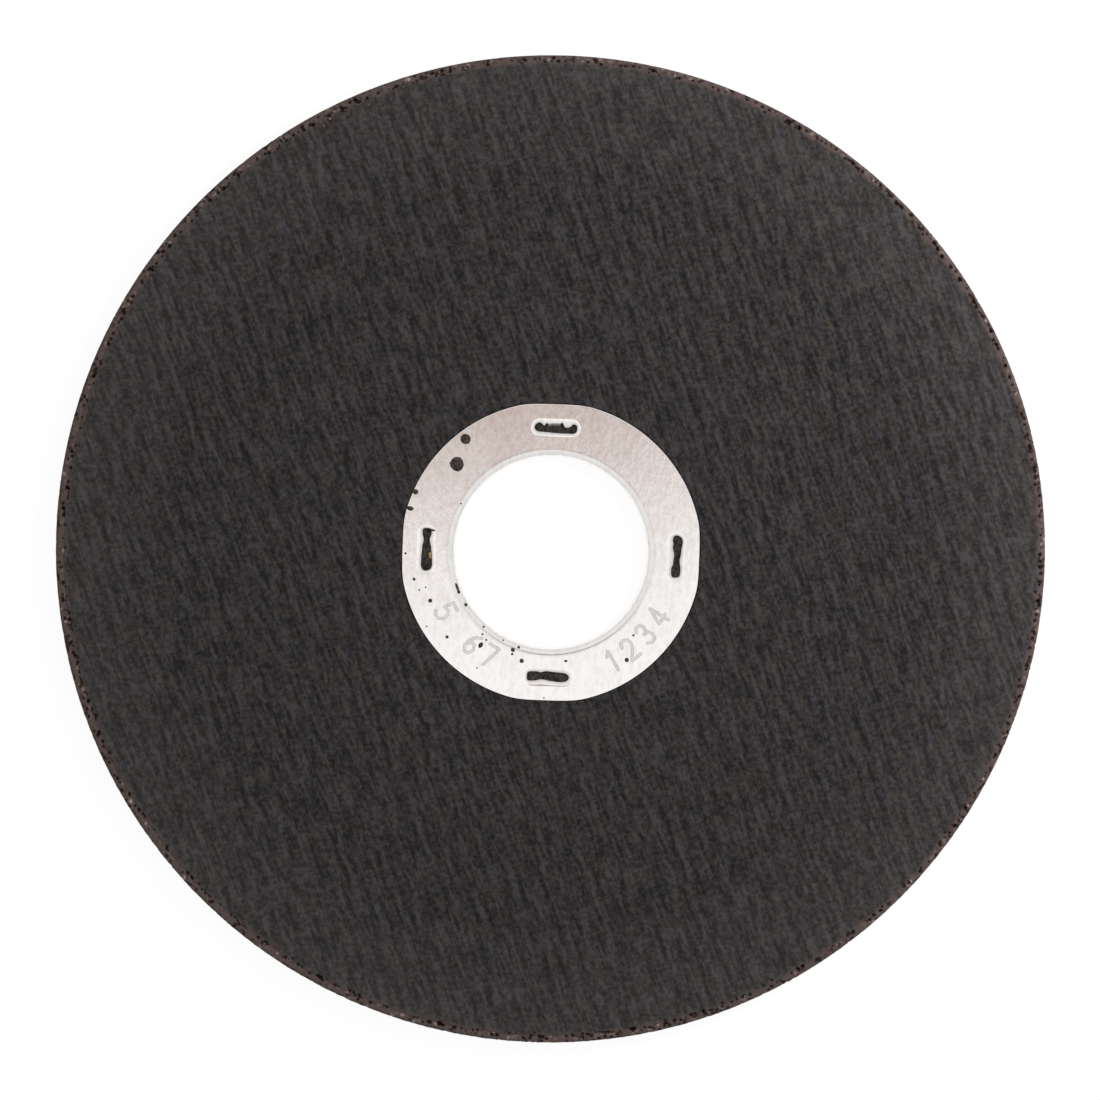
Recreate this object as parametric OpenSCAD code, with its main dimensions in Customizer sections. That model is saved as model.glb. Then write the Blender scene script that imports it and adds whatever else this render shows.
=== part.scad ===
// Flat cut-off wheel: a resin-bonded abrasive disc, pressed around a clawed hub ring of sheet steel.
// The bore is on the Z axis, the wheel rests on z = 0, and the ring's flange faces up.

/* [Disc] */
// Outside diameter of the wheel
wheel_d = 115; // [100:1:125]
// Thickness of the disc over its two cloth facings
wheel_t = 2.5; // [1.6:0.1:3.2]
// Height of a facing above the bare grain beside it
facing_t = 0.1; // [0.05:0.01:0.2]
// Width of the bare grain band between a facing and the rim
rim_band = 0.9; // [0.3:0.1:2]
// Rounding of the rim's two corners
rim_round = 0.4; // [0.1:0.05:0.5]

/* [Hub ring] */
// Bore for the arbor
bore_d = 22.23; // [20:0.01:23]
// Diameter of the flange
flange_d = 35; // [34:0.1:40]
// Depth of the flat on the flange's edge beside each claw
flat_cut = 0.25; // [0.05:0.05:0.4]
// Thickness of the sheet steel
sheet_t = 0.25; // [0.2:0.01:0.3]
// Radius of the bend from the flange's face into the bore
collar_bend = 0.85; // [0.5:0.05:1]
// Height of the flange's face above the facing around it
flange_proud = 0.05; // [0:0.01:0.1]
// Distance of the collar's free end from the wheel's lower face
collar_setback = 0.1; // [0:0.05:0.3]

/* [Claws] */
// Number of claws around the flange
claw_count = 4; // [3:1:6]
// Diameter of the circle that the claws are centred on
claw_circle_d = 29; // [28.5:0.1:30]
// Length of a claw's slot
slot_l = 4.9; // [4:0.1:6]
// Width of a claw's slot
slot_w = 1.35; // [1:0.05:1.5]
// Radius of the bend from the flange's face into a slot
slot_bend = 0.45; // [0.35:0.05:0.6]
// Straight height of a slot's lip below its bend
lip_h = 0.1; // [0.05:0.05:0.2]
// Width of a tooth at the lip that it hangs from
tooth_w = 2.4; // [1.5:0.1:2.5]
// Width of a tooth at its point
tooth_tip_w = 0.8; // [0.2:0.1:1.4]
// Length of a tooth below its lip
tooth_l = 0.6; // [0.2:0.05:0.7]
// Depth of the abrasive's surface in a slot below the flange's face
mix_depth = 0.4; // [0.35:0.05:0.5]

/* [Hidden] */

$fn = 180;
wheel_r = wheel_d / 2;
bore_r = bore_d / 2;
flange_r = flange_d / 2;
flange_z = wheel_t + flange_proud;
bend_r = bore_r + collar_bend;
bend_z = flange_z - collar_bend;
slot_run = slot_l - slot_w;
over = 1; // how far a cutter runs past the face that it opens

// Section of sheet that turns down through a quarter circle and ends in a straight edge.
// Its open side is on x = 0 and its upper face on y = 0.
module turned_down(bend, straight) {
    translate([bend, -bend]) intersection() {
        difference() {
            circle(bend);
            circle(bend - sheet_t);
        }
        translate([-bend, 0]) square(bend);
    }
    translate([0, -bend - straight]) square([sheet_t, straight]);
}

// Turns a feature to each claw in turn
module at_each_claw() {
    for (i = [0:claw_count - 1]) {
        rotate(i * 360 / claw_count) children();
    }
}

// Outline of a slot with round ends, a given distance outside its lip's open side
module slot_outline(beyond) {
    square([slot_run, slot_w + 2 * beyond], center = true);
    for (side = [-1, 1]) {
        translate([side * slot_run / 2, 0]) circle(slot_w / 2 + beyond);
    }
}

// Outline of the flange, round with a flat beside each claw
module flange_outline() {
    difference() {
        circle(flange_r);
        at_each_claw() translate([-flange_r, flange_r - flat_cut]) square([flange_d, flat_cut + over]);
    }
}

// Flat of the flange, opened where the sheet turns down into the bore and the slots
module flange() {
    translate([0, 0, flange_z - sheet_t]) linear_extrude(sheet_t) difference() {
        flange_outline();
        circle(bend_r);
        at_each_claw() translate([0, claw_circle_d / 2]) slot_outline(slot_bend);
    }
}

// Collar that lines the bore
module collar() {
    rotate_extrude() translate([bore_r, flange_z]) turned_down(collar_bend, bend_z - collar_setback);
}

module lip_section() {
    translate([slot_w / 2, 0]) turned_down(slot_bend, lip_h);
}

// Half of a slot's lip: one round end and one long side, with the tooth that hangs from it
module half_claw() {
    translate([slot_run / 2, 0, 0]) rotate(-90) rotate_extrude(angle = 180) lip_section();
    translate([-slot_run / 2, 0, 0]) rotate([90, 0, 90]) linear_extrude(slot_run) lip_section();
    translate([0, slot_w / 2 + sheet_t, -slot_bend - lip_h]) rotate([90, 0, 0]) linear_extrude(sheet_t)
        polygon([
            [-tooth_w / 2, 0],
            [tooth_w / 2, 0],
            [tooth_tip_w / 2, -tooth_l],
            [-tooth_tip_w / 2, -tooth_l]
        ]);
}

// Slot drawn down into the abrasive, with its lip's teeth, around the flange's face at z = 0
module claw() {
    half_claw();
    rotate(180) half_claw();
}

module ring_body() {
    flange();
    collar();
    at_each_claw() translate([0, claw_circle_d / 2, flange_z]) claw();
}

// Section of the disc's bare grain, rounded at the rim's corners
module grain_section() {
    grain_t = wheel_t - 2 * facing_t;
    translate([0, facing_t]) {
        square([wheel_r - rim_round, grain_t]);
        translate([0, rim_round]) square([wheel_r, grain_t - 2 * rim_round]);
        for (y = [rim_round, grain_t - rim_round]) {
            translate([wheel_r - rim_round, y]) circle(rim_round);
        }
    }
}

// Room in the disc for the bore and for the sheet that turns down into it
module bore_room() {
    rotate_extrude() {
        translate([0, -over]) square([bore_r + sheet_t, bend_z + over]);
        difference() {
            translate([0, bend_z]) square([bend_r, collar_bend]);
            translate([bend_r, bend_z]) circle(collar_bend - sheet_t);
        }
    }
}

// Disc of abrasive grain in resin, pressed around the ring and into its slots
module abrasive_disc() {
    color("#343232") difference() {
        union() {
            rotate_extrude() grain_section();
            cylinder(r = wheel_r - rim_band, h = wheel_t);
        }
        bore_room();
        translate([0, 0, flange_z - sheet_t]) linear_extrude(sheet_t + over) flange_outline();
        at_each_claw() translate([0, claw_circle_d / 2, flange_z - mix_depth])
            linear_extrude(mix_depth) slot_outline(sheet_t / 2);
        ring_body();
    }
}

// Hub ring of tinned sheet steel: flange, collar and claws in one pressing
module hub_ring() {
    color("#dcd6d1") ring_body();
}

abrasive_disc();
hub_ring();
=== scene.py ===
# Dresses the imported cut-off wheel: the abrasive disc with its cloth facings and bare grain rim,
# the clawed hub ring of tinned sheet steel, and the resin that the press left on the ring.

import math
import random

import bpy
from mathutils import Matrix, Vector, kdtree, noise


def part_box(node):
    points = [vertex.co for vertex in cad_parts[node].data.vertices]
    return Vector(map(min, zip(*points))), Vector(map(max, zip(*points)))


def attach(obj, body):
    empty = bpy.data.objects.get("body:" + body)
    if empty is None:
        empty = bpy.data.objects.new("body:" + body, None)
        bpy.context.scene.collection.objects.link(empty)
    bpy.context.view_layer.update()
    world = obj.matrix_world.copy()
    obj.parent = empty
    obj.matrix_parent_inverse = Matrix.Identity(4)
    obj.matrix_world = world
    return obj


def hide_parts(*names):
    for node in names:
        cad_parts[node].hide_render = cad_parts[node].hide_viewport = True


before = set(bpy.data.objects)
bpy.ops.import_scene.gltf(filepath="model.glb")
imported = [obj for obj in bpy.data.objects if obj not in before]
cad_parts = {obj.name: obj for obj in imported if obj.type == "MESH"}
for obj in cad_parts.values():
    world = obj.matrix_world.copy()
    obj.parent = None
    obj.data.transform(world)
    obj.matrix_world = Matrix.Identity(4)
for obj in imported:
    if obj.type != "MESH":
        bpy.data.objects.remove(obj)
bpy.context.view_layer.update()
mm = 0.001

# heights and reach that the CAD sets
discLow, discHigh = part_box("abrasive_disc")
ringLow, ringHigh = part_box("hub_ring")
wheelRadius = discHigh.x
facingTop = discHigh.z
flangeTop = ringHigh.z
collarEnd = ringLow.z
flatReach = ringHigh.x  # the flange's flats stand this far from the axis


def toLinear(hexColour):
    channels = [int(hexColour[i:i + 2], 16) / 255 for i in (1, 3, 5)]
    return [c / 12.92 if c <= 0.04045 else ((c + 0.055) / 1.055) ** 2.4 for c in channels] + [1.0]


def addNode(tree, kind, settings=None, inputs=None):
    made = tree.nodes.new("ShaderNode" + kind)
    for name, value in (settings or {}).items():
        setattr(made, name, value)
    for socket, value in (inputs or {}).items():
        if isinstance(value, bpy.types.NodeSocket):
            tree.links.new(value, made.inputs[socket])
        else:
            made.inputs[socket].default_value = value
    return made


# settings that many nodes share
valueMix = {"data_type": "FLOAT"}        # its sockets: 0 the share, 2 and 3 the values
colourMix = {"data_type": "RGBA"}        # its sockets: 0 the share, 6 and 7 the colours
patternSize = {"vector_type": "TEXTURE"}    # a Mapping whose Scale is the pattern's own size
flatNoise = {"noise_dimensions": "2D"}    # for patterns that lie in the wheel's plane
eased = {"interpolation_type": "SMOOTHSTEP"}


def newTree(owner):
    owner.use_nodes = True
    owner.node_tree.nodes.clear()
    return owner.node_tree


def rampColours(made, stops):
    ramp = made.color_ramp
    for place, hexColour in stops[2:]:
        ramp.elements.new(place)
    for element, (place, hexColour) in zip(ramp.elements, sorted(stops)):
        element.position = place
        element.color = toLinear(hexColour)


def smooth(share):
    share = min(1.0, max(0.0, share))
    return share * share * (3 - 2 * share)


def through(points, at):
    # eased height at a place along a few given points
    if at <= points[0][0]:
        return points[0][1]
    for (a, low), (b, high) in zip(points, points[1:]):
        if at <= b:
            return low + (high - low) * smooth((at - a) / (b - a))
    return points[-1][1]


# small modelling steps that several pieces share

def drawChain(name, points):
    # a plane is merged to one vertex, which is then pulled from point to point
    bpy.ops.object.select_all(action="DESELECT")
    bpy.context.tool_settings.mesh_select_mode = (True, False, False)
    bpy.ops.mesh.primitive_plane_add(size=mm)
    piece = bpy.context.object
    piece.name = name
    bpy.ops.object.mode_set(mode="EDIT")
    bpy.ops.mesh.merge(type="CENTER")
    bpy.ops.transform.translate(value=points[0])
    for last, point in zip(points, points[1:]):
        step = Vector(point) - Vector(last)
        bpy.ops.mesh.extrude_vertices_move(TRANSFORM_OT_translate={"value": step})
    return piece


def turnChain(name, section, segments):
    # a section of (radius, height) in millimetres is turned round the wheel's axis
    piece = drawChain(name, [(r * mm, 0, z * mm) for r, z in section])
    bpy.ops.object.mode_set(mode="OBJECT")
    turn = piece.modifiers.new("turn", "SCREW")
    turn.axis = "Z"
    turn.angle = 2 * math.pi
    turn.steps = segments
    turn.render_steps = segments
    turn.use_merge_vertices = True
    turn.merge_threshold = 0.004 * mm
    applyModifier(piece, "turn")
    return piece


def quarter(radius, steps):
    # points of a quarter circle that leaves a face level and ends upright: run across, and drop
    angles = [0.5 * math.pi * i / steps for i in range(steps + 1)]
    return [(radius * math.sin(a), radius * (1 - math.cos(a))) for a in angles]


def loftLoops(name, loops):
    # a turned tube with one ring for each loop, whose rings are then brought to the loops' outlines
    count = len(loops[0])
    piece = turnChain(name, [(1, level) for level in range(len(loops))], count)
    last = set()
    for vertex in piece.data.vertices:
        level = round(vertex.co.z / mm)
        step = round(math.atan2(vertex.co.y, vertex.co.x) / (2 * math.pi) * count) % count
        vertex.co = loops[level][step]
        if level == len(loops) - 1:
            last.add(vertex.index)
    return piece, last


def selectEdges(piece, test):
    # leaves the piece in edit mode with just those edges selected
    if piece.mode != "OBJECT":
        bpy.ops.object.mode_set(mode="OBJECT")
    bpy.context.tool_settings.mesh_select_mode = (False, True, False)
    mesh = piece.data
    for part in (mesh.polygons, mesh.edges, mesh.vertices):
        part.foreach_set("select", [False] * len(part))
    for edge in mesh.edges:
        edge.select = test(edge)
    bpy.ops.object.mode_set(mode="EDIT")


def fillLevel(piece, height):
    # closes all open edges that lie at one height, around whatever openings they leave
    bpy.ops.object.mode_set(mode="EDIT")
    bpy.context.tool_settings.mesh_select_mode = (False, True, False)
    bpy.ops.mesh.select_all(action="DESELECT")
    bpy.ops.mesh.select_non_manifold(use_wire=True, use_boundary=True, use_multi_face=False,
                                     use_non_contiguous=False, use_verts=False)
    bpy.ops.object.mode_set(mode="OBJECT")
    vertices = piece.data.vertices
    isOpen = [edge.select for edge in piece.data.edges]
    selectEdges(piece, lambda edge: isOpen[edge.index]
                and all(abs(vertices[i].co.z - height) < 0.002 * mm for i in edge.vertices))
    bpy.ops.mesh.fill(use_beauty=True)
    bpy.ops.object.mode_set(mode="OBJECT")


def joinPieces(name, pieces):
    bpy.ops.object.select_all(action="DESELECT")
    for piece in pieces:
        piece.select_set(True)
    bpy.context.view_layer.objects.active = pieces[0]
    bpy.ops.object.join()
    joined = bpy.context.object
    joined.name = name
    joined.data.name = name
    return joined


def closeNormals(piece):
    bpy.ops.object.mode_set(mode="EDIT")
    bpy.ops.mesh.select_all(action="SELECT")
    bpy.ops.mesh.normals_make_consistent(inside=False)
    bpy.ops.object.mode_set(mode="OBJECT")


def applyModifier(piece, name):
    bpy.context.view_layer.objects.active = piece
    bpy.ops.object.modifier_apply(modifier=name)


def finishPiece(piece, angle):
    bpy.ops.object.select_all(action="DESELECT")
    piece.select_set(True)
    bpy.context.view_layer.objects.active = piece
    bpy.ops.object.shade_smooth_by_angle(angle=math.radians(angle))
    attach(piece, "root")


# slots of the hub ring, in millimetres from each slot's middle: along it, and outwards from the axis.
# Each was torn a little differently as the press drew it down.
slotForm = {
    "circle": 14.5,       # radius that the slots sit on
    "halfWidth": 0.65,
    "samples": 112,       # vertices round a slot
    "lipRun": 0.42,       # width of the rolled lip on the flange's face
    "lipDrop": 0.45,      # depth at which the lip stands upright
    "lipStraight": 0.12,
    "lipSteps": 9,
    "toothWidth": 2.4, "toothTip": 0.8, "toothLength": 0.6,
    "skirtRun": 0.36, "skirtStart": 0.1, "skirtDrop": 0.46,    # where a lip tore and only slopes down
    "support": 0.06,      # narrow flat strip that keeps the face's shading flat
    "tuck": 0.09,         # the lip's dark upright part stands this far inside the edges given for each slot
    "mixDepth": 0.36,     # abrasive in the slot below the flange's face
    "mixReach": 0.35,     # share of the lip's run that the abrasive reaches under it
    "mixRelief": 0.07,
    "mixLumps": 1.3, "mixGrit": 4.0,    # unevenness per millimetre, coarse and fine
}
slots = [
    {"name": "slotTop", "turn": 0, "ends": (-2.35, 2.55), "squareness": (2.6, 3.4),
     "outer": [(-2.3, 0.50), (-1.8, 0.58), (-1.2, 0.24), (-0.95, 0.54), (0.0, 0.63), (0.8, 0.60),
               (1.12, 0.13), (1.45, 0.0), (1.72, 0.15), (2.15, 0.49), (2.5, 0.48)],
     "inner": [(-2.3, -0.46), (-1.6, -0.51), (0.1, -0.62), (2.0, -0.65), (2.5, -0.60)],
     "skirt": [(-1.0, 0.0), (-0.78, 1.0), (0.55, 1.0), (0.85, 0.0)], "mixDepth": 0.5},
    {"name": "slotLeft", "turn": 90, "ends": (-2.55, 2.36), "squareness": (2.2, 4.5),
     "outer": [(-2.4, 0.54), (-1.7, 0.56), (0.2, 0.47), (1.05, 0.33), (1.8, 0.48), (2.3, 0.50)],
     "inner": [(-2.4, -0.70), (-1.8, -0.73), (-0.7, -0.66), (0.0, -0.58), (1.08, -0.39), (1.75, -0.56),
               (2.3, -0.62)]},
    {"name": "slotBottom", "turn": 180, "ends": (-2.54, 2.30), "squareness": (2.1, 5.0),
     "outer": [(-2.3, 0.55), (-1.3, 0.58), (-0.6, 0.50), (0.6, 0.34), (1.5, 0.49), (2.2, 0.52)],
     "inner": [(-2.3, -0.46), (-1.2, -0.54), (0.1, -0.64), (0.8, -0.51), (1.2, -0.60), (2.2, -0.57)]},
    {"name": "slotRight", "turn": 270, "ends": (-2.45, 2.44), "squareness": (2.1, 3.4),
     "outer": [(-2.3, 0.72), (-1.7, 0.76), (-0.5, 0.63), (0.47, 0.50), (1.5, 0.61), (2.3, 0.58)],
     "inner": [(-2.3, -0.40), (-1.9, -0.40), (-1.5, -0.30), (-1.12, -0.37), (-0.13, -0.19), (0.8, -0.27),
               (1.54, -0.48), (2.3, -0.46)]},
]


def onRing(slot, along, outward, height):
    # a slot's own place, turned to where the slot sits on the wheel
    turn = math.radians(slot["turn"])
    x, y = along * mm, (slotForm["circle"] + outward) * mm
    east, north = math.cos(turn), math.sin(turn)
    return Vector((x * east - y * north, x * north + y * east, height))


def slotOutline(slot, beyond):
    # (torn edge, even edge that far outside it) at the same places round the slot
    half = slotForm["halfWidth"]
    low, high = slot["ends"]
    tuck = slotForm["tuck"]
    run = high - low - 2 * half
    length = 2 * run + 2 * math.pi * half
    torn, even = [], []
    for i in range(slotForm["samples"]):
        s = length * i / slotForm["samples"]
        if s < math.pi * half:
            a, side, base = s / half - 0.5 * math.pi, 1, high - half
        elif s < math.pi * half + run:
            a, side, base = 0.5 * math.pi, 0, high - half - (s - math.pi * half)
        elif s < 2 * math.pi * half + run:
            a, side, base = (s - run) / half - 0.5 * math.pi, -1, low + half
        else:
            a, side, base = -0.5 * math.pi, 0, low + half + (s - run - 2 * math.pi * half)
        across, up = math.cos(a), math.sin(a)
        if side == 0:
            across = 0.0
        power = 2 / slot["squareness"][0 if side < 0 else 1]
        along = base + (half - tuck) * math.copysign(abs(across) ** power, across)
        rise = math.copysign(abs(up) ** power, up) if side else up
        edge = through(slot["outer"] if up > 0 else slot["inner"], along)
        torn.append((along, abs(rise) * (edge - math.copysign(min(tuck, abs(edge)), edge))))
        even.append((base + (half + beyond) * across, (half + beyond) * up))
    return torn, even


# hub ring, in millimetres
ring = {
    "segments": 360,
    "flangeRadius": 17.5,
    "boreRadius": 11.115,
    "sheet": 0.25,
    "bend": 0.85,
    "bendSteps": 12,
    "edgeRound": 0.05,
    "flatSoft": 0.3,
    "support": 0.06,
    "smoothAngle": 24,
}


def keepFlats(piece, fullRadius):
    # brings a turned outline in to the four flats beside the slots, with soft corners
    soft = ring["flatSoft"] * mm
    for vertex in piece.data.vertices:
        limit = flatReach + math.hypot(vertex.co.x, vertex.co.y) - fullRadius * mm
        for axis in (0, 1):
            reach = abs(vertex.co[axis])
            near = max(0.0, 1 - abs(reach - limit) / soft)
            inset = 0.25 * soft * near * near
            vertex.co[axis] = math.copysign(min(reach, limit) - inset, vertex.co[axis])


def makeLip(slot):
    edge, even = slotOutline(slot, slotForm["lipRun"])
    outside = slotOutline(slot, slotForm["lipRun"] + slotForm["support"])[1]
    skirt = [through(slot["skirt"], u) if "skirt" in slot and v > 0 else 0.0 for u, v in edge]
    loops = [[onRing(slot, u, v, flangeTop) for u, v in outside]]
    for across, drop in quarter(1, slotForm["lipSteps"]):
        loop = []
        for (tu, tv), (eu, ev), torn in zip(edge, even, skirt):
            rolled = (1 - torn) * slotForm["lipDrop"] * drop
            depth = rolled + torn * slotForm["skirtStart"] * across * across
            u, v = eu + (tu - eu) * across, ev + (tv - ev) * across
            loop.append(onRing(slot, u, v, flangeTop - depth * mm))
        loops.append(loop)
    for share in (0.33, 0.67, 1.0):
        loop = []
        for (u, v), torn in zip(edge, skirt):
            upright = slotForm["lipDrop"] + share * slotForm["lipStraight"]
            sloping = slotForm["skirtStart"] + share * slotForm["skirtDrop"]
            depth = upright + torn * (sloping - upright)
            loop.append(onRing(slot, u, v - torn * share * slotForm["skirtRun"], flangeTop - depth * mm))
        loops.append(loop)
    # a tooth hangs from each long side, and bites into the abrasive below
    foot = slotForm["lipDrop"] + slotForm["lipStraight"]
    slant = 0.5 * (slotForm["toothWidth"] - slotForm["toothTip"])
    loop = []
    for (u, v), torn in zip(edge, skirt):
        bite = min(1.0, max(0.02, (0.5 * slotForm["toothWidth"] - abs(u)) / slant))
        depth = foot + bite * slotForm["toothLength"]
        loop.append(onRing(slot, u, v - torn * slotForm["skirtRun"], flangeTop - depth * mm))
    loops.append(loop)
    return loftLoops(slot["name"] + "Lip", loops)[0]


def makeRing():
    top = flangeTop / mm
    soft = ring["edgeRound"]
    rim = [(ring["flangeRadius"], top - soft)]
    rim += [(ring["flangeRadius"] - soft + soft * math.cos(a), top - soft + soft * math.sin(a))
            for a in (math.radians(30), math.radians(60), math.radians(90))]
    rim.append((ring["flangeRadius"] - soft - ring["support"], top))
    edge = turnChain("flangeEdge", rim, ring["segments"])
    keepFlats(edge, ring["flangeRadius"])
    start = ring["boreRadius"] + ring["bend"]
    section = [(start + ring["support"], top)]
    section += [(start - across, top - drop) for across, drop in quarter(ring["bend"], ring["bendSteps"])]
    section.append((ring["boreRadius"], collarEnd / mm))
    collar = turnChain("collar", section, ring["segments"])
    lips = [makeLip(slot) for slot in slots]
    piece = joinPieces("hubRing", [edge, collar] + lips)
    fillLevel(piece, flangeTop)
    closeNormals(piece)
    flat = max(piece.data.polygons, key=lambda face: face.area * abs(face.normal.z))
    if flat.normal.z < 0:
        bpy.ops.object.mode_set(mode="EDIT")
        bpy.ops.mesh.select_all(action="SELECT")
        bpy.ops.mesh.flip_normals()
        bpy.ops.object.mode_set(mode="OBJECT")
    wall = piece.modifiers.new("sheet", "SOLIDIFY")
    wall.thickness = ring["sheet"] * mm
    wall.offset = -1
    applyModifier(piece, "sheet")
    return piece


# plain numbers pressed into the flange, in millimetres
numbers = {
    "height": 2.5,
    "width": 1.45,
    "strokeRadius": 0.22,
    "depth": 0.11,
    # figure, angle, radius
    "places": [("5", 211.0, 14.0), ("6", 231.0, 14.0), ("7", 241.0, 14.0),
               ("1", 301.5, 14.5), ("2", 311.0, 14.5), ("3", 321.0, 14.5), ("4", 331.0, 14.5)],
}
# each figure's strokes, in a box one unit wide and one unit high
strokes = {
    "1": [[(0.25, 0.78), (0.55, 1.0), (0.55, 0.0)]],
    "2": [[(0.08, 0.76), (0.2, 0.95), (0.5, 1.0), (0.82, 0.92), (0.9, 0.7), (0.75, 0.48), (0.08, 0.0),
           (0.95, 0.0)]],
    "3": [[(0.1, 0.85), (0.35, 1.0), (0.7, 0.97), (0.85, 0.78), (0.7, 0.58), (0.42, 0.53)],
          [(0.42, 0.53), (0.78, 0.48), (0.92, 0.25), (0.75, 0.04), (0.4, 0.0), (0.08, 0.14)]],
    "4": [[(0.7, 0.0), (0.7, 1.0), (0.05, 0.28), (0.95, 0.28)]],
    "5": [[(0.88, 1.0), (0.22, 1.0), (0.15, 0.55), (0.5, 0.63), (0.85, 0.5), (0.92, 0.25), (0.7, 0.03),
           (0.35, 0.0), (0.06, 0.12)]],
    "6": [[(0.8, 0.96), (0.45, 0.85), (0.15, 0.5), (0.12, 0.22), (0.4, 0.0), (0.75, 0.05), (0.9, 0.3),
           (0.7, 0.52), (0.4, 0.54), (0.14, 0.32)]],
    "7": [[(0.06, 1.0), (0.94, 1.0), (0.42, 0.0)]],
}


def makeBar(start, end, radius):
    # a round bar with domed ends: a ball whose far half is pulled to the bar's end
    bpy.ops.object.select_all(action="DESELECT")
    bpy.ops.mesh.primitive_uv_sphere_add(segments=20, ring_count=9, radius=radius)
    bar = bpy.context.object
    along = (end - start).normalized()
    up = Vector((0, 0, 1))
    aside = up.cross(along)
    for vertex in bar.data.vertices:
        x, y, z = vertex.co
        vertex.co = (end if z > 0 else start) + aside * x + up * y + along * z
    return bar


def makeNumbers():
    # each stroke lies mostly above the face, so that it cuts a shallow trough
    bars = []
    thick = numbers["strokeRadius"] * mm
    lift = Vector((0, 0, flangeTop + (numbers["strokeRadius"] - numbers["depth"]) * mm))
    for digit, angle, radius in numbers["places"]:
        turn = math.radians(angle)
        out = Vector((math.cos(turn), math.sin(turn), 0))
        right = Vector((-math.sin(turn), math.cos(turn), 0))
        for stroke in strokes[digit]:
            line = [lift + out * (radius - (up - 0.5) * numbers["height"]) * mm
                    + right * (across - 0.5) * numbers["width"] * mm for across, up in stroke]
            bars += [makeBar(start, end, thick) for start, end in zip(line, line[1:])]
    return bars


def pressNumbers(piece):
    for bar in makeNumbers():
        cut = piece.modifiers.new("number", "BOOLEAN")
        cut.operation = "DIFFERENCE"
        cut.solver = "MANIFOLD"
        cut.object = bar
        applyModifier(piece, "number")
        bpy.data.objects.remove(bar)


# where the punch scuffed the tin, and where painted shade greys the pressed numbers and the top slot's torn
# skirt: millimetres, and degrees from a slot's middle
scuffAndShade = {
    "numberDepth": (0.001, 0.2), "numberBand": (12.1, 17.2), "clearOfSlots": 16,
    "skirtMiddle": -0.08, "skirtHalf": 0.95, "skirtAcross": (0.1, 0.56), "skirtDepth": 0.08,
}


def isScuffedAndShaded(place):
    # in a pressed number, or on the torn skirt of the top slot
    depth = (flangeTop - place.z) / mm
    radius = math.hypot(place.x, place.y) / mm
    angle = math.degrees(math.atan2(place.y, place.x))
    fromSlot = abs((angle + 45) % 90 - 45)
    shallow, deep = scuffAndShade["numberDepth"]
    inside, outside = scuffAndShade["numberBand"]
    inBand = inside < radius < outside and fromSlot > scuffAndShade["clearOfSlots"]
    near, far = scuffAndShade["skirtAcross"]
    alongSkirt = abs(place.x / mm - scuffAndShade["skirtMiddle"]) < scuffAndShade["skirtHalf"]
    onSkirt = alongSkirt and near < place.y / mm - slotForm["circle"] < far
    return (inBand and shallow < depth < deep) or (onSkirt and depth > scuffAndShade["skirtDepth"])


# abrasive disc, in millimetres
disc = {
    "segments": 2400,         # rim vertices, about 0.15 mm apart
    "innerSegments": 360,
    "facing": 0.1,            # facing's height above the bare grain
    "facingRadius": 56.65,
    "facingShift": (0.17, 0.08),  # the facing lies a little off the wheel's middle
    "facingWander": 0.12,
    "facingFade": 0.6,        # width over which the facing thins out to bare grain
    "stripInside": 55.3,      # the fine mesh starts here, with closer rings towards the facing's edge
    "stripRings": (55.65, 55.9, 56.1, 56.24, 56.36, 56.46),
    "edgeRoll": [(-0.04, 0.01), (0.02, 0.05)], "edgeFoot": 0.08,    # out and down, where the facing ends
    "lowerRing": 56.2,
    "cornerRadius": 0.4,
    "recessDepth": 0.26,      # under the flange's face
    "grooveWidth": 0.2,       # dark line beside the flange
    "holeRadius": 11.365,
    "smoothAngle": 40,
}
grain = {
    "seed": 41,
    "grits": 4200, "gritRadius": (0.14, 0.32), "gritRise": (0.02, 0.09),
    "pits": 1300, "pitRadius": (0.13, 0.27), "pitDepth": (0.12, 0.32),
    "edgePits": 620, "edgeSpread": 0.13,
    "deepest": 0.4, "highest": 0.08,
    "chipDepth": 0.2, "chipGrit": 0.12,
    # chipped places with a pale grit in each: angle, radius, size
    "chips": [(118.9, 56.3, 0.42), (119.9, 55.95, 0.34), (119.0, 55.75, 0.3), (116.8, 56.5, 0.4),
              (114.1, 55.9, 0.3), (109.5, 56.5, 0.36), (86.7, 57.0, 0.3), (190.0, 56.2, 0.3),
              (247.0, 56.1, 0.28)],
}


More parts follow.
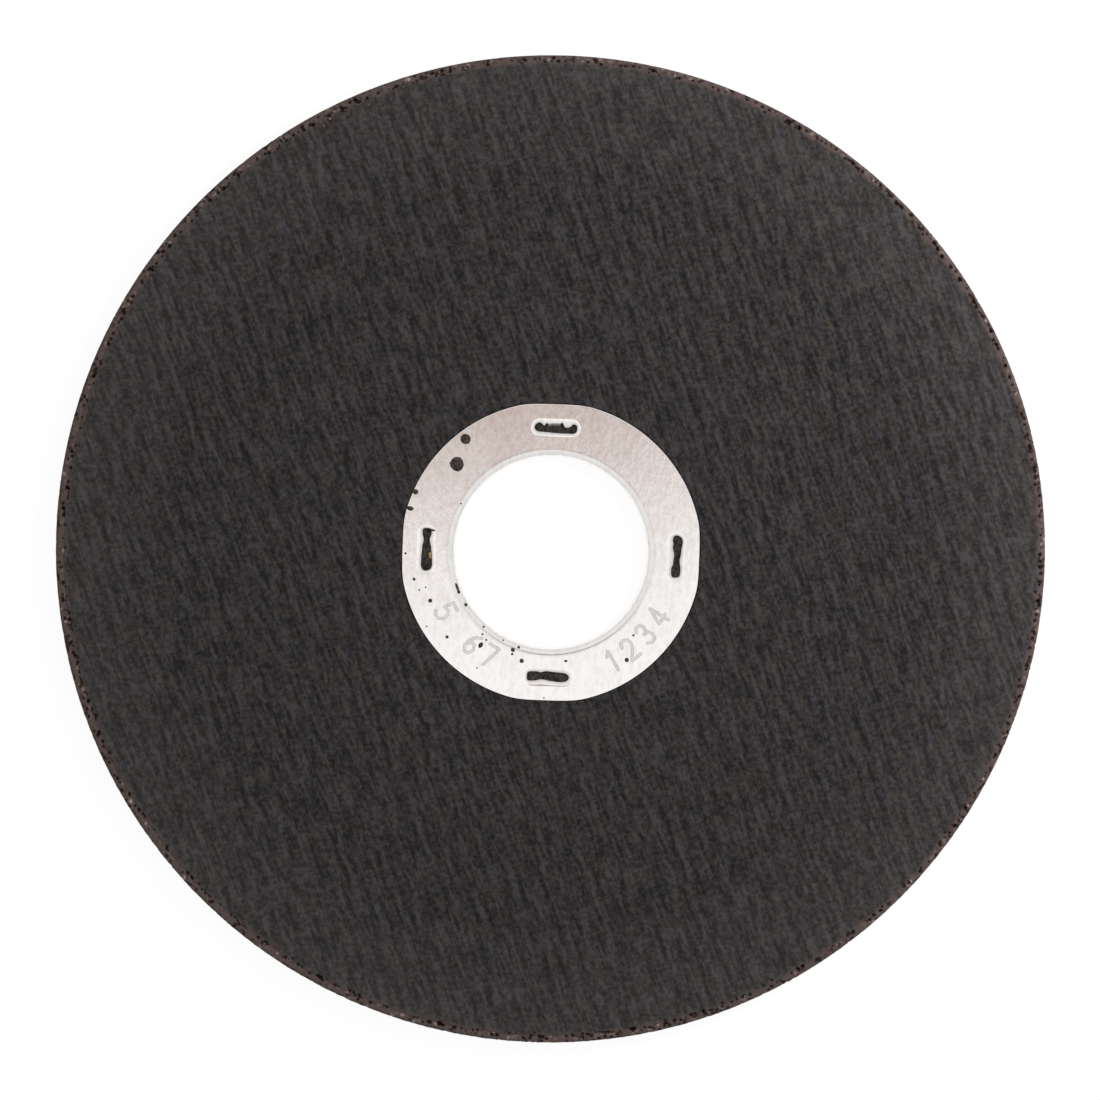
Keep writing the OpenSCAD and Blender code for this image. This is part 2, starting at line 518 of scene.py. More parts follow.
def makeDisc():
    top, foot, radius = facingTop / mm, discLow.z / mm, wheelRadius / mm
    edge, soft = disc["facingRadius"], disc["cornerRadius"]
    bareTop, bareFoot = top - disc["facing"], foot + disc["facing"]
    start = radius - soft
    strip, roll = disc["stripInside"], disc["edgeFoot"]
    section = [(r, top) for r in (strip, *disc["stripRings"])]
    section += [(edge + across, top - drop) for across, drop in disc["edgeRoll"]]
    section.append((edge + roll, bareTop))
    section += [(edge + roll + (start - edge - roll) * i / 5, bareTop) for i in range(1, 6)]
    section += [(start + across, bareTop - drop) for across, drop in quarter(soft, 5)[1:]]
    wallTop, wallFoot = bareTop - soft, bareFoot + soft
    section += [(radius, wallTop + (wallFoot - wallTop) * i / 8) for i in range(1, 9)]
    section += [(start + across, bareFoot + drop) for across, drop in quarter(soft, 4)[-2::-1]]
    section += [(edge + 0.3, bareFoot), (edge + 0.1, bareFoot)]
    section += [(r, foot) for r in (edge, disc["lowerRing"], strip)]
    rim = turnChain("rimStrip", section, disc["segments"])
    shelf = flangeTop / mm - disc["recessDepth"]
    groove = disc["grooveWidth"]
    flange = ring["flangeRadius"]
    recess = turnChain("recess", [(flange + groove + 0.1, top), (flange + groove, top - 0.005),
                                  (flange + 0.5 * groove, top - 0.03), (flange + 0.2 * groove, top - 0.1),
                                  (flange, shelf)], disc["innerSegments"])
    keepFlats(recess, flange)
    bend = ring["bend"] - ring["sheet"]
    hole = disc["holeRadius"]
    lining = [(hole, foot)]
    lining += [(hole + bend - across, shelf - drop) for across, drop in reversed(quarter(bend, 4))]
    bore = turnChain("bore", lining, disc["innerSegments"])
    wells = [makeWell(slot, shelf * mm) for slot in slots]
    piece = joinPieces("abrasiveDisc", [rim, recess, bore] + wells)
    for height in (facingTop, shelf * mm, discLow.z):
        fillLevel(piece, height)
    closeNormals(piece)
    return piece


def makeWell(slot, shelf):
    # abrasive that was pressed up into a slot, with an uneven face below the lip
    torn, even = slotOutline(slot, slotForm["lipRun"])
    reach = slotForm["mixReach"]
    edge = [(tu + reach * (eu - tu), tv + reach * (ev - tv)) for (tu, tv), (eu, ev) in zip(torn, even)]
    floor = flangeTop - slot.get("mixDepth", slotForm["mixDepth"]) * mm
    middle = 0.5 * sum(slot["ends"])
    loops = [[onRing(slot, u, v, level) for u, v in edge] for level in (shelf, floor)]
    for share in (0.8, 0.6, 0.4, 0.2):
        along = 0.3 + 0.7 * share
        loops.append([onRing(slot, middle + (u - middle) * along, v * share, floor) for u, v in edge])
    piece, last = loftLoops(slot["name"] + "Mix", loops)
    for vertex in piece.data.vertices:
        if vertex.co.z < shelf - 0.01 * mm:
            lumps = noise.noise(vertex.co * slotForm["mixLumps"] / mm)
            vertex.co.z += slotForm["mixRelief"] * mm * lumps
            grit = noise.noise(vertex.co * slotForm["mixGrit"] / mm)
            vertex.co.z += 0.4 * slotForm["mixRelief"] * mm * grit
    selectEdges(piece, lambda edge: all(i in last for i in edge.vertices))
    bpy.ops.mesh.fill(use_beauty=True)
    bpy.ops.object.mode_set(mode="OBJECT")
    return piece


def facingEdge(angle):
    # how far the upper facing's edge stands outside its nominal radius, in millimetres
    place = Vector((math.cos(angle), math.sin(angle), 0))
    wander = noise.noise(place * 26) + 0.7 * noise.noise(place * 95)
    shift = disc["facingShift"][0] * place.x + disc["facingShift"][1] * place.y
    return shift + disc["facingWander"] * wander


def roughenRim(piece):
    rng = random.Random(grain["seed"])
    mesh = piece.data
    strip, edge, roll = disc["stripInside"], disc["facingRadius"], disc["edgeFoot"]
    start = wheelRadius / mm - disc["cornerRadius"]
    rimIds = []
    for vertex in mesh.vertices:
        radius = math.hypot(vertex.co.x, vertex.co.y) / mm
        if radius < strip + 0.05:
            continue
        rimIds.append(vertex.index)
        if vertex.co.z > 0.5 * facingTop and radius < start:
            # the facing's edge wanders, and the rings beside it follow
            angle = math.atan2(vertex.co.y, vertex.co.x)
            if radius < edge:
                hold = smooth((radius - strip) / (edge - 0.1 - strip))
            else:
                hold = max(0.0, 1 - (radius - edge - roll) / (start - edge - roll))
            grow = 1 + facingEdge(angle) * min(1.0, hold) / radius
            vertex.co.x *= grow
            vertex.co.y *= grow
    mesh.update()
    tree = kdtree.KDTree(len(rimIds))
    for i in rimIds:
        tree.insert(mesh.vertices[i].co, i)
    tree.balance()
    rise = dict.fromkeys(rimIds, 0.0)
    toneAndPitShade = dict.fromkeys(rimIds, 0.5)
    normals = {i: mesh.vertices[i].normal.copy() for i in rimIds}

    def isBare(i):
        place = mesh.vertices[i].co
        radius = math.hypot(place.x, place.y) / mm
        wander = facingEdge(math.atan2(place.y, place.x)) if place.z > 0.5 * facingTop else 0.0
        return radius > edge + wander + 0.05

    def press(centre, radius, height, shade, bareOnly):
        for place, i, distance in tree.find_range(centre, radius * mm):
            if bareOnly and not isBare(i):
                continue
            share = 1 - (distance / (radius * mm)) ** 2
            rise[i] += height * share * mm
            toneAndPitShade[i] += (shade - toneAndPitShade[i]) * min(1.0, 1.6 * share)

    bareIds = [i for i in rimIds if isBare(i)]
    for count in range(grain["grits"]):
        centre = mesh.vertices[rng.choice(bareIds)].co
        press(centre, rng.uniform(*grain["gritRadius"]), rng.uniform(*grain["gritRise"]),
              min(1.0, max(0.2, rng.gauss(0.52, 0.22))), True)
    # painted shade: pits, pits along the facing's edge and chipped hollows take a near-black tone
    for count in range(grain["pits"]):
        centre = mesh.vertices[rng.choice(bareIds)].co
        press(centre, rng.uniform(*grain["pitRadius"]), -rng.uniform(*grain["pitDepth"]),
              rng.uniform(0, 0.15), False)
    for count in range(grain["edgePits"]):
        angle = rng.uniform(0, 2 * math.pi)
        radius = edge + facingEdge(angle) + rng.gauss(roll, grain["edgeSpread"])
        centre = Vector((radius * mm * math.cos(angle), radius * mm * math.sin(angle), facingTop))
        if noise.noise(centre * 0.45 / mm) > rng.uniform(-0.5, 0.3):
            press(centre, rng.uniform(*grain["pitRadius"]), -rng.uniform(*grain["pitDepth"]), 0.05, False)
    for angle, radius, size in grain["chips"]:
        turn = math.radians(angle)
        centre = Vector((radius * mm * math.cos(turn), radius * mm * math.sin(turn), facingTop))
        press(centre, size, -grain["chipDepth"], 0.05, False)
        press(centre + Vector((0.06 * mm, 0.04 * mm, 0)), 0.45 * size, grain["chipGrit"], 1.0, False)
    for i in rimIds:
        lift = max(-grain["deepest"] * mm, min(grain["highest"] * mm, rise[i]))
        vertex = mesh.vertices[i]
        vertex.co += normals[i] * lift
        reach = math.hypot(vertex.co.x, vertex.co.y)
        if reach > wheelRadius:
            vertex.co.x *= wheelRadius / reach
            vertex.co.y *= wheelRadius / reach
        vertex.co.z = min(facingTop, max(discLow.z, vertex.co.z))
    bareShare = {}
    for i in rimIds:
        place = mesh.vertices[i].co
        wander = facingEdge(math.atan2(place.y, place.x)) if place.z > 0.5 * facingTop else 0.0
        inside = edge + wander - math.hypot(place.x, place.y) / mm + 0.25 * noise.noise(place * 1.4 / mm)
        bareShare[i] = smooth(0.75 - inside / disc["facingFade"])
        if toneAndPitShade[i] < 0.25 or toneAndPitShade[i] > 0.85:
            bareShare[i] = 1.0  # a pit or a broken grit shows through the cloth
    for name, values, usual in (("gritToneAndPitShade", toneAndPitShade, 0.5), ("bareShare", bareShare, 0.0)):
        store = mesh.attributes.new(name, "FLOAT", "POINT")
        store.data.foreach_set("value", [values.get(i, usual) for i in range(len(mesh.vertices))])


# resin flecks on the ring: angle, radius, width along the ring and depth across it, in millimetres
flecks = {
    "seed": 12,
    "rise": 0.06,
    "foot": 0.35,         # a fleck is cut off this share of its half height below its middle
    "uneven": 0.16,
    "smoothAngle": 60,
    "spots": [
        (128.7, 16.5, 1.2, 1.3), (138.5, 15.0, 1.7, 1.7), (157.6, 17.25, 0.6, 0.7),
        (164.4, 17.15, 0.55, 0.85), (171.1, 13.95, 0.25, 0.55), (203.6, 15.1, 0.5, 0.5),
        (192.8, 16.2, 0.37, 0.37), (182.1, 16.9, 0.28, 0.28), (197.3, 15.1, 0.22, 0.2),
        (197.7, 15.9, 0.22, 0.22), (221.0, 15.55, 0.4, 0.4), (231.9, 12.4, 0.25, 0.25),
        (235.4, 12.65, 0.26, 0.26), (234.7, 13.5, 0.5, 0.75), (250.5, 12.15, 0.5, 0.5),
        (251.0, 12.65, 0.3, 0.3), (256.8, 13.05, 0.52, 0.52), (279.7, 12.75, 0.4, 0.3),
        (307.1, 15.3, 0.54, 0.54), (316.8, 13.6, 0.3, 0.3), (212.6, 16.8, 0.2, 0.2),
        (239.2, 15.95, 0.2, 0.2), (269.1, 16.95, 0.2, 0.2),
    ],
    # flecks on the bend into the bore: angle, share of the bend, width, depth
    "bendSpots": [(153.3, 0.05, 0.22, 0.22), (202.3, 0.27, 1.15, 0.34), (205.0, 0.24, 0.45, 0.38),
                  (213.4, 0.28, 0.42, 0.42), (229.7, 0.25, 0.27, 0.27), (243.3, 0.28, 0.2, 0.2),
                  (253.1, 0.25, 0.35, 0.35)],
    "amberSpot": (183.2, 14.08, 0.82, 0.5),
    "amberDepth": 0.3,
}


def makeFleck(place, upward, around, width, depth, rng):
    bpy.ops.object.select_all(action="DESELECT")
    bpy.ops.mesh.primitive_ico_sphere_add(subdivisions=2, radius=mm)
    fleck = bpy.context.object
    fleck.name = "fleck"
    fleck.data.materials.append(resinMaterial)
    bpy.ops.object.mode_set(mode="EDIT")
    bpy.ops.mesh.bisect(plane_co=(0, 0, -flecks["foot"] * mm), plane_no=(0, 0, 1), clear_inner=True,
                        use_fill=True)
    bpy.ops.object.mode_set(mode="OBJECT")
    across = upward.cross(around)
    rise = flecks["rise"] * min(1.0, 0.5 + width)
    lump = rng.uniform(0, 50)
    for vertex in fleck.data.vertices:
        spread = 1 + flecks["uneven"] * noise.noise(vertex.co / mm * 0.9 + Vector((lump, 0, 0)))
        x, y, z = vertex.co / mm
        aside = around * (x * spread * 0.5 * width * mm)
        outward = across * (y * spread * 0.5 * depth * mm)
        vertex.co = place + aside + outward + upward * (z * rise * mm)
    return fleck


def makeFlecks():
    rng = random.Random(flecks["seed"])
    made = []
    up = Vector((0, 0, 1))
    for angle, radius, width, depth in flecks["spots"]:
        turn = math.radians(angle)
        place = Vector((radius * mm * math.cos(turn), radius * mm * math.sin(turn), flangeTop))
        made.append(makeFleck(place, up, Vector((-math.sin(turn), math.cos(turn), 0)), width, depth, rng))
    for angle, share, width, depth in flecks["bendSpots"]:
        turn, lean = math.radians(angle), 0.5 * math.pi * share
        radius = ring["boreRadius"] + ring["bend"] * (1 - math.sin(lean))
        height = flangeTop - ring["bend"] * (1 - math.cos(lean)) * mm
        out = Vector((math.cos(turn), math.sin(turn), 0))
        upward = up * math.cos(lean) - out * math.sin(lean)
        place = out * radius * mm + up * height
        made.append(makeFleck(place, upward, Vector((-out.y, out.x, 0)), width, depth, rng))
    angle, radius, width, depth = flecks["amberSpot"]
    turn = math.radians(angle)
    out = Vector((math.cos(turn), math.sin(turn), 0))
    place = out * radius * mm + up * (flangeTop - flecks["amberDepth"] * mm)
    amber = makeFleck(place, (up + out).normalized(), Vector((-out.y, out.x, 0)), width, depth, rng)
    amber.data.materials[0] = amberMaterial
    return joinPieces("resinFlecks", made + [amber])


# materials

facingLook = {
    "warpPitch": 2.26,      # mm between the ribs of the cloth's mesh
    "warpLean": 16.9,       # degrees from the wheel's +Y
    "weftPitch": 2.12,
    "warpRise": 0.023, "weftRise": 0.021,    # share of the height
    "wander": 1.2,          # mm that a rib strays
    "lean": 22.0,           # degrees that the single threads lean
    "bundle": 0.66,         # mm across a bundle of threads; the finer octaves are single threads
    "bundleLength": 4.0,    # mm that it runs straight
    "pick": (2.0, 0.36),    # mm along and across the fainter cross threads
    "pickShare": 0.12,
    "uneven": 0.58,         # mm, uneven resin
    "unevenShare": 0.45,
    "relief": (0.34, 0.66), "reliefPower": 1.3,
    "thread": "#353232", "gap": "#161515", "cool": "#333135", "warm": "#37322d",
    "tint": 1.4,            # mm, patches of either tint
    "coolFrom": (0.48, 0.66), "warmFrom": (0.5, 0.34), "warmMost": 0.9,
    # towards the rim, where the resin lies thinner, the facing is greyer
    "liftFrom": 43.0,       # mm from the axis
    "rimLift": 1.12, "dust": "#141312",
}
grainLook = {
    "stops": [(0.0, "#0d0a09"), (1.0, "#a28e86"), (0.2, "#221a18"), (0.42, "#3f3533"), (0.6, "#4d423f"),
              (0.82, "#6e5f5a")],
    "fine": 0.11,           # mm, grit too small to model
    "fineShare": 0.22,
    "bump": 0.06,           # mm
}


def makeDiscLook():
    # glass cloth soaked in black phenolic resin: matt, with leaning threads and darker dips between.
    # It thins out at the rim to bonded aluminium oxide: reddish brown grit with pale broken faces, and
    # pores painted near black as shade in their hollows.
    material = bpy.data.materials.new("clothFacedAbrasive")
    tree = newTree(material)
    where = addNode(tree, "TexCoord").outputs["Object"]
    lean = math.radians(facingLook["lean"])
    bundle, length = facingLook["bundle"] * mm, facingLook["bundleLength"] * mm
    pickLength, pick = [size * mm for size in facingLook["pick"]]
    along = addNode(tree, "Mapping", patternSize,
                    {"Vector": where, "Rotation": (0, 0, lean), "Scale": (bundle, length, bundle)})
    across = addNode(tree, "Mapping", patternSize,
                     {"Vector": where, "Rotation": (0, 0, lean), "Scale": (pickLength, pick, pick)})
    plain = addNode(tree, "Mapping", patternSize, {"Vector": where, "Scale": (mm, mm, mm)})
    threads = addNode(tree, "TexNoise", flatNoise,
                      {"Vector": along.outputs[0], "Scale": 1.0, "Detail": 1.25, "Roughness": 0.85})
    picks = addNode(tree, "TexNoise", None,
                    {"Vector": across.outputs[0], "Scale": 1.0, "Detail": 1.0, "Roughness": 0.5})
    tint = addNode(tree, "TexNoise", None,
                   {"Vector": plain.outputs[0], "Scale": 1 / facingLook["tint"],
                    "Detail": 4.0, "Roughness": 0.65})
    speck = addNode(tree, "TexNoise", flatNoise,
                    {"Vector": plain.outputs[0], "Scale": 1 / facingLook["uneven"],
                     "Detail": 1.25, "Roughness": 0.85})
    weave = addNode(tree, "Mix", valueMix,
                    {0: facingLook["pickShare"], 2: threads.outputs[0], 3: picks.outputs[0]})
    height = addNode(tree, "Mix", valueMix,
                     {0: facingLook["unevenShare"], 2: weave.outputs[0], 3: speck.outputs[0]})
    # the cloth's open mesh shows through as regular ribs both ways
    drift = addNode(tree, "TexNoise", None, {"Vector": plain.outputs[0], "Scale": 0.06, "Detail": 1.0})
    wandered = addNode(tree, "VectorMath", {"operation": "MULTIPLY_ADD"},
                       {0: drift.outputs["Color"], 1: (facingLook["wander"] * mm,) * 3, 2: where})
    ribs = []
    for axis, spacing, turn in (("X", facingLook["warpPitch"], facingLook["warpLean"]),
                                ("Y", facingLook["weftPitch"], facingLook["lean"])):
        turned = addNode(tree, "Mapping", patternSize,
                         {"Vector": wandered.outputs[0], "Rotation": (0, 0, math.radians(turn)),
                          "Scale": (spacing * mm / (2 * math.pi),) * 3})
        split = addNode(tree, "SeparateXYZ", None, {"Vector": turned.outputs[0]})
        ribs.append(addNode(tree, "Math", {"operation": "COSINE"}, {0: split.outputs[axis]}))
    crest = addNode(tree, "MapRange", eased,
                    {"Value": ribs[1].outputs[0], "From Min": -0.1, "From Max": 1.0})
    height = addNode(tree, "Math", {"operation": "MULTIPLY_ADD"},
                     {0: ribs[0].outputs[0], 1: facingLook["warpRise"], 2: height.outputs[0]})
    height = addNode(tree, "Math", {"operation": "MULTIPLY_ADD"},
                     {0: crest.outputs[0], 1: facingLook["weftRise"], 2: height.outputs[0]})
    low, high = facingLook["relief"]
    raised = addNode(tree, "MapRange", None,
                     {"Value": height.outputs[0], "From Min": low, "From Max": high})
    raised = addNode(tree, "Math", {"operation": "POWER"},
                     {0: raised.outputs[0], 1: facingLook["reliefPower"]})
    low, high = facingLook["coolFrom"]
    cooled = addNode(tree, "MapRange", None,
                     {"Value": tint.outputs[0], "From Min": low, "From Max": high})
    low, high = facingLook["warmFrom"]
    warmed = addNode(tree, "MapRange", None,
                     {"Value": tint.outputs[0], "From Min": low, "From Max": high,
                      "To Max": facingLook["warmMost"]})
    thread = addNode(tree, "Mix", colourMix,
                     {0: cooled.outputs[0], 6: toLinear(facingLook["thread"]),
                      7: toLinear(facingLook["cool"])})
    thread = addNode(tree, "Mix", colourMix,
                     {0: warmed.outputs[0], 6: thread.outputs[2], 7: toLinear(facingLook["warm"])})
    facing = addNode(tree, "Mix", colourMix,
                     {0: raised.outputs[0], 6: toLinear(facingLook["gap"]), 7: thread.outputs[2]})
    reach = addNode(tree, "VectorMath", {"operation": "LENGTH"}, {0: plain.outputs[0]})
    thinned = addNode(tree, "MapRange", None,
                      {"Value": reach.outputs["Value"], "From Min": facingLook["liftFrom"],
                       "From Max": wheelRadius / mm})
    facing = addNode(tree, "Mix", dict(colourMix, blend_type="MULTIPLY"),
                     {0: thinned.outputs[0], 6: facing.outputs[2],
                      7: (facingLook["rimLift"],) * 3 + (1,)})
    facing = addNode(tree, "Mix", dict(colourMix, blend_type="ADD"),
                     {0: thinned.outputs[0], 6: facing.outputs[2], 7: toLinear(facingLook["dust"])})
    tiny = addNode(tree, "Mapping", patternSize,
                   {"Vector": where, "Scale": (grainLook["fine"] * mm,) * 3})
    fine = addNode(tree, "TexNoise", None,
                   {"Vector": tiny.outputs[0], "Scale": 1.0, "Detail": 2.0, "Roughness": 0.6})
    toneAndPitShade = addNode(tree, "Attribute", {"attribute_name": "gritToneAndPitShade"})
    toneAndPitShade = addNode(tree, "Mix", valueMix,
                   {0: grainLook["fineShare"], 2: toneAndPitShade.outputs["Fac"], 3: fine.outputs[0]})
    grit = addNode(tree, "ValToRGB", None, {"Fac": toneAndPitShade.outputs[0]})
    rampColours(grit, grainLook["stops"])
    bare = addNode(tree, "Attribute", {"attribute_name": "bareShare"})
    colour = addNode(tree, "Mix", colourMix,
                     {0: bare.outputs["Fac"], 6: facing.outputs[2], 7: grit.outputs[0]})
    relief = addNode(tree, "Mix", valueMix,
                     {0: bare.outputs["Fac"], 2: height.outputs[0], 3: fine.outputs[0]})
    bump = addNode(tree, "Bump", None,
                   {"Strength": 0.6, "Distance": grainLook["bump"] * mm, "Height": relief.outputs[0]})
    shader = addNode(tree, "BsdfPrincipled", None,
                     {"Base Color": colour.outputs[2], "Roughness": 0.8, "Specular IOR Level": 0.1,
                      "Normal": bump.outputs[0]})
    addNode(tree, "OutputMaterial", None, {"Surface": shader.outputs[0]})
    return material


resinLook = {"dark": "#120f0d", "pale": "#433c37", "fine": 0.25}
mixLook = {"dark": "#060505", "pale": "#39332f", "fine": 0.34}
amberLook = {"dark": "#5c442e", "pale": "#c9a57e", "fine": 0.3}


def makeResinLook(name, look):
    # phenolic resin with a dull skin: near black and mottled where it cured, blacker between the grit
    # pressed into the slots, amber where it ran clear
    material = bpy.data.materials.new(name)
    tree = newTree(material)
    where = addNode(tree, "TexCoord").outputs["Object"]
    plain = addNode(tree, "Mapping", patternSize,
                    {"Vector": where, "Scale": (look["fine"] * mm,) * 3})
    mottle = addNode(tree, "TexNoise", None,
                     {"Vector": plain.outputs[0], "Scale": 1.0, "Detail": 3.0, "Roughness": 0.6})
    patch = addNode(tree, "MapRange", None,
                    {"Value": mottle.outputs[0], "From Min": 0.33, "From Max": 0.67})
    colour = addNode(tree, "Mix", colourMix,
                     {0: patch.outputs[0], 6: toLinear(look["dark"]), 7: toLinear(look["pale"])})
    bump = addNode(tree, "Bump", None,
                   {"Strength": 0.5, "Distance": 0.03 * mm, "Height": mottle.outputs[0]})
    shader = addNode(tree, "BsdfPrincipled", None,
                     {"Base Color": colour.outputs[2], "Roughness": 0.6, "Specular IOR Level": 0.12,
                      "Normal": bump.outputs[0]})
    addNode(tree, "OutputMaterial", None, {"Surface": shader.outputs[0]})
    return material


tinLook = {
    "bright": "#fcfaf8", "dull": "#f0ebe7",
    "roughness": (0.09, 0.12),
    "spangle": (0.45, 1.1, 0.45),   # mm
    "ripple": 0.006,                # mm
    "lip": 0.84,                    # painted shade: the slots' lips below the flange's face are greyer
    # painted shade also greys the shoulder of the collar, from the bore outwards
    "shoulderShade": [(0.0, "#ffffff"), (1.0, "#ffffff"), (0.34, "#fcfcfc"), (0.54, "#e6e6e6"),
                 (0.7, "#ededed")],
    "shoulderShadeRun": 1.2,             # mm
}
# rougher where the punch scuffed it; its darker colour is painted shade in the pressed numbers and on the
# top slot's torn skirt
scuffedShadedLook = dict(tinLook, bright="#e7e4e3", dull="#d8d4d3", roughness=(0.3, 0.38), lip=0.95)


def makeTinLook(name, look):
    # tin-plated sheet steel: bright and smooth from rolling, with a faint cloudy spangle that scatters
    # reflections, and painted shade that greys the slots' lips and the collar's shoulder
    material = bpy.data.materials.new(name)
    tree = newTree(material)
    where = addNode(tree, "TexCoord").outputs["Object"]
    plain = addNode(tree, "Mapping", patternSize,
                    {"Vector": where, "Scale": [size * mm for size in look["spangle"]]})
    cloud = addNode(tree, "TexNoise", None,
                    {"Vector": plain.outputs[0], "Scale": 1.0, "Detail": 4.0, "Roughness": 0.62})
    broad = addNode(tree, "TexNoise", None,
                    {"Vector": plain.outputs[0], "Scale": 0.15, "Detail": 2.0, "Roughness": 0.5})
    stain = addNode(tree, "MapRange", eased,
                    {"Value": cloud.outputs[0], "From Min": 0.4, "From Max": 0.68, "To Max": 0.8})
    colour = addNode(tree, "Mix", colourMix,
                     {0: stain.outputs[0], 6: toLinear(look["bright"]), 7: toLinear(look["dull"])})
    height = addNode(tree, "SeparateXYZ", None, {"Vector": where})
    level = addNode(tree, "VectorMath", {"operation": "MULTIPLY"}, {0: where, 1: (1, 1, 0)})
    reach = addNode(tree, "VectorMath", {"operation": "LENGTH"}, {0: level.outputs[0]})
    # painted shade: a ramp greys the collar's shoulder outwards from the bore, and a fixed share greys what
    # lies below the flange's face outside the collar
    bore, run = ring["boreRadius"] * mm, look["shoulderShadeRun"] * mm
    across = addNode(tree, "MapRange", None,
                     {"Value": reach.outputs["Value"], "From Min": bore, "From Max": bore + run})
    shoulderShade = addNode(tree, "ValToRGB", None, {"Fac": across.outputs[0]})
    rampColours(shoulderShade, look["shoulderShade"])
    lip = addNode(tree, "MapRange", None,
                  {"Value": height.outputs["Z"], "From Min": flangeTop - 0.04 * mm, "From Max": flangeTop,
                   "To Min": look["lip"], "To Max": 1.0})
    collar = addNode(tree, "Math", {"operation": "LESS_THAN"}, {0: reach.outputs["Value"], 1: bore + run})
    lip = addNode(tree, "Math", {"operation": "MAXIMUM"}, {0: lip.outputs[0], 1: collar.outputs[0]})
    for grey in (shoulderShade, lip):
        colour = addNode(tree, "Mix", dict(colourMix, blend_type="MULTIPLY"),
                         {0: 1.0, 6: colour.outputs[2], 7: grey.outputs[0]})
    rough = addNode(tree, "MapRange", None,
                    {"Value": broad.outputs[0], "From Min": 0.3, "From Max": 0.7,
                     "To Min": look["roughness"][0], "To Max": look["roughness"][1]})
    bump = addNode(tree, "Bump", None,
                   {"Strength": 1.0, "Distance": look["ripple"] * mm, "Height": cloud.outputs[0]})
    shader = addNode(tree, "BsdfPrincipled", None,
                     {"Base Color": colour.outputs[2], "Metallic": 1.0, "Roughness": rough.outputs[0],
                      "Normal": bump.outputs[0]})
    addNode(tree, "OutputMaterial", None, {"Surface": shader.outputs[0]})
    return material


# the wheel's pieces

discMaterial = makeDiscLook()
resinMaterial = makeResinLook("curedPhenolicResin", resinLook)
mixMaterial = makeResinLook("gritFilledResin", mixLook)
amberMaterial = makeResinLook("clearPhenolicResin", amberLook)
tinMaterial = makeTinLook("tinnedSheetSteel", tinLook)
scuffedShadedMaterial = makeTinLook("scuffedTinnedSteelPaintedShade", scuffedShadedLook)
print("materials made")

abrasiveDisc = makeDisc()
roughenRim(abrasiveDisc)
abrasiveDisc.data.materials.append(discMaterial)
abrasiveDisc.data.materials.append(mixMaterial)
for face in abrasiveDisc.data.polygons:
    # the recess under the ring and the mix in its slots are resin and grit
    inside = math.hypot(face.center.x, face.center.y) < ring["flangeRadius"] * mm
    face.material_index = 1 if inside and face.center.z > 0.5 * facingTop else 0
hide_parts("abrasive_disc")
finishPiece(abrasiveDisc, disc["smoothAngle"])
print("abrasive disc made:", len(abrasiveDisc.data.polygons), "faces")

hubRing = makeRing()
pressNumbers(hubRing)
hubRing.data.materials.clear()
hubRing.data.materials.append(tinMaterial)
hubRing.data.materials.append(scuffedShadedMaterial)
# painted shade: faces in the pressed numbers and on the torn skirt take the darker, rougher tin
for face in hubRing.data.polygons:
    face.material_index = 1 if isScuffedAndShaded(face.center) else 0
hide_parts("hub_ring")
finishPiece(hubRing, ring["smoothAngle"])
for face in hubRing.data.polygons:
    # the flange's face stays flat right up to the bends and the pressed numbers
    if face.normal.z > 0.9999 and face.center.z > flangeTop - 0.001 * mm:
        face.use_smooth = False
print("hub ring made:", len(hubRing.data.polygons), "faces")

resinFlecks = makeFlecks()
finishPiece(resinFlecks, flecks["smoothAngle"])
print("resin flecks made:", len(resinFlecks.data.polygons), "faces")


# stage, light and camera

stage = {
    "floorSize": 6.0,      # m
    "floorGap": 0.02,      # mm below the wheel
    "floor": "#f4f4f4",
    "whiteShare": 0.93,    # of plain white in the floor, as the camera and the tin see it
}


def makeFloor():
    bpy.ops.object.select_all(action="DESELECT")
    level = discLow.z - stage["floorGap"] * mm
    bpy.ops.mesh.primitive_plane_add(size=stage["floorSize"], location=(0, 0, level))
    floor = bpy.context.object
    floor.name = "floor"
    material = bpy.data.materials.new("whiteSweep")
    tree = newTree(material)
    path = addNode(tree, "LightPath").outputs
    seen = path["Is Camera Ray"]
    for ray in ("Is Glossy Ray", "Is Transmission Ray"):
        seen = addNode(tree, "Math", {"operation": "MAXIMUM"}, {0: seen, 1: path[ray]}).outputs[0]
    share = addNode(tree, "Math", {"operation": "MULTIPLY"}, {0: seen, 1: stage["whiteShare"]})
    paper = addNode(tree, "BsdfDiffuse", None, {"Color": toLinear(stage["floor"])})
    white = addNode(tree, "Emission", None, {"Color": (1, 1, 1, 1), "Strength": 1.0})
    mixed = addNode(tree, "MixShader", None,
                    {0: share.outputs[0], 1: paper.outputs[0], 2: white.outputs[0]})
    addNode(tree, "OutputMaterial", None, {"Surface": mixed.outputs[0]})
    floor.data.materials.append(material)


view = {
    "distance": 500.0,           # mm from the aim to the lens
    "turn": (-3.6, -0.5, 1.9),   # degrees
    "aim": (-0.122, 0.306),      # mm on the facing
    "frameWidth": 127.76,        # mm that the picture spans at the facing
    "sensor": 36.0,
}


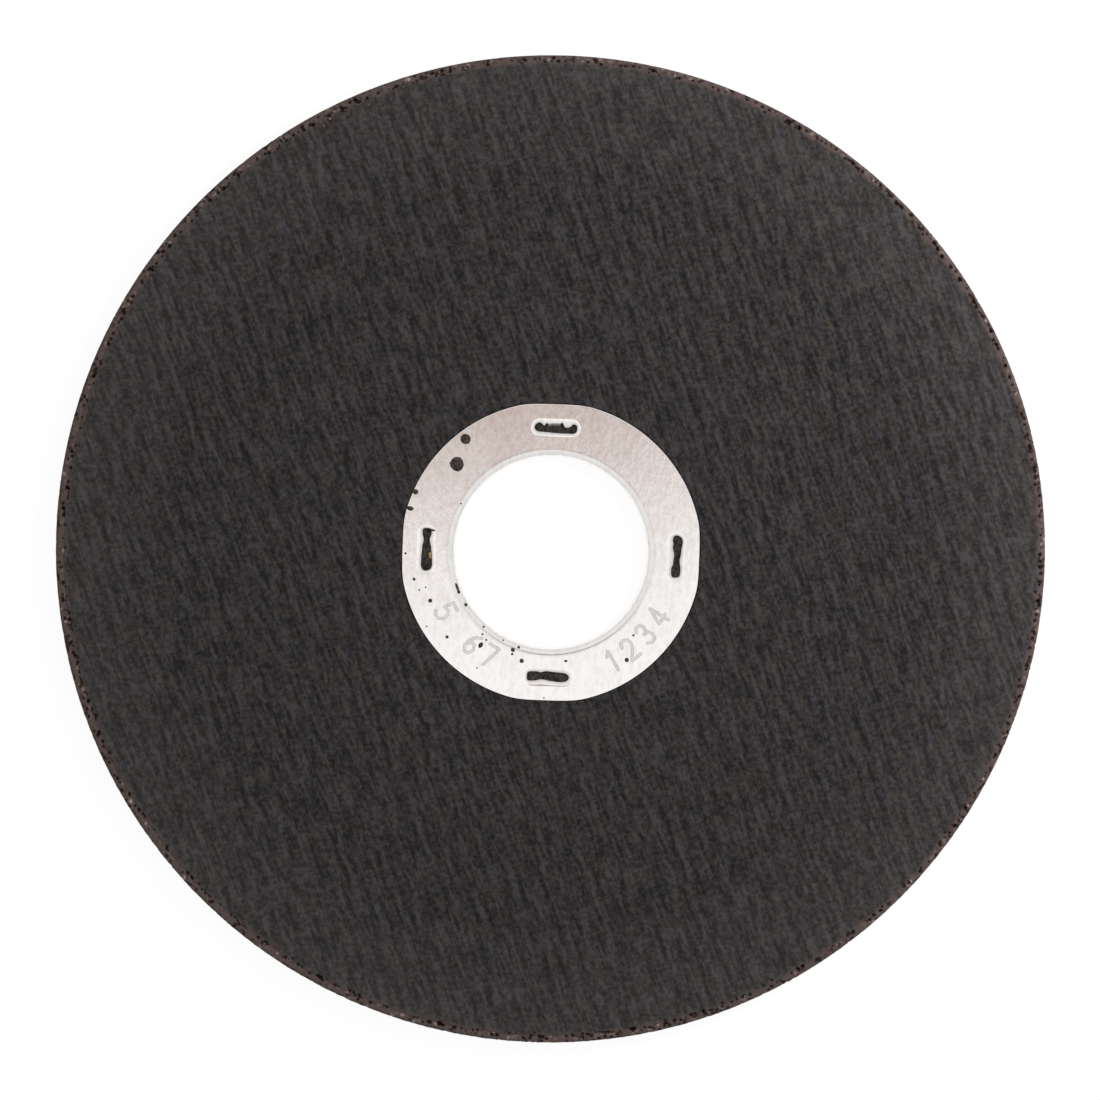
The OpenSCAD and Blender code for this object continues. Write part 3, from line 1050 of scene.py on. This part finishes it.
def makeCamera():
    data = bpy.data.cameras.new("camera")
    data.sensor_width = view["sensor"]
    data.lens = view["sensor"] * view["distance"] / view["frameWidth"]
    data.clip_start, data.clip_end = 0.01, 10
    camera = bpy.data.objects.new("camera", data)
    camera.rotation_euler = [math.radians(a) for a in view["turn"]]
    back = camera.rotation_euler.to_matrix() @ Vector((0, 0, 1))
    aim = Vector((view["aim"][0] * mm, view["aim"][1] * mm, facingTop))
    camera.location = aim + back * view["distance"] * mm
    bpy.context.scene.collection.objects.link(camera)
    bpy.context.scene.camera = camera
    return back


light = {
    "dome": 1.0,
    "horizon": 0.78,         # the dome is dimmer low down
    "horizonFoot": 0.5, "horizonTop": 0.8,
    "shade": "#b8a49d",      # dim rig round the lens, which the ring's upper half reflects
    "shadeInner": 5.3, "shadeOuter": 7.9,    # degrees from the lens
    "keyPlace": (0.148, 0.09, 0.135), "keySize": 0.12, "keyPower": 0.55,    # m, m, W
}


def makeLight(back):
    world = bpy.data.worlds.new("studioDome")
    bpy.context.scene.world = world
    tree = newTree(world)
    where = addNode(tree, "TexCoord").outputs["Generated"]
    lens = addNode(tree, "VectorMath", {"operation": "DOT_PRODUCT"}, {0: where, 1: back})
    rig = addNode(tree, "MapRange", eased,
                  {"Value": lens.outputs["Value"],
                   "From Min": math.cos(math.radians(light["shadeOuter"])),
                   "From Max": math.cos(math.radians(light["shadeInner"]))})
    colour = addNode(tree, "Mix", colourMix,
                     {0: rig.outputs[0], 6: (1, 1, 1, 1), 7: toLinear(light["shade"])})
    height = addNode(tree, "SeparateXYZ", None, {"Vector": where})
    low = addNode(tree, "MapRange", None,
                  {"Value": height.outputs["Z"],
                   "From Min": light["horizonFoot"], "From Max": light["horizonTop"],
                   "To Min": light["horizon"], "To Max": light["dome"]})
    sky = addNode(tree, "Background", None, {"Color": colour.outputs[2], "Strength": low.outputs[0]})
    addNode(tree, "OutputWorld", None, {"Surface": sky.outputs[0]})
    lamp = bpy.data.lights.new("key", "AREA")
    lamp.shape = "DISK"
    lamp.size = light["keySize"]
    lamp.energy = light["keyPower"]
    key = bpy.data.objects.new("key", lamp)
    key.location = light["keyPlace"]
    key.rotation_euler = (-Vector(light["keyPlace"])).to_track_quat("-Z", "Y").to_euler()
    key.visible_camera = False
    key.visible_glossy = False
    bpy.context.scene.collection.objects.link(key)


makeFloor()
lensDirection = makeCamera()
makeLight(lensDirection)
bpy.context.scene.view_settings.view_transform = "Standard"
print("stage, camera and light made")
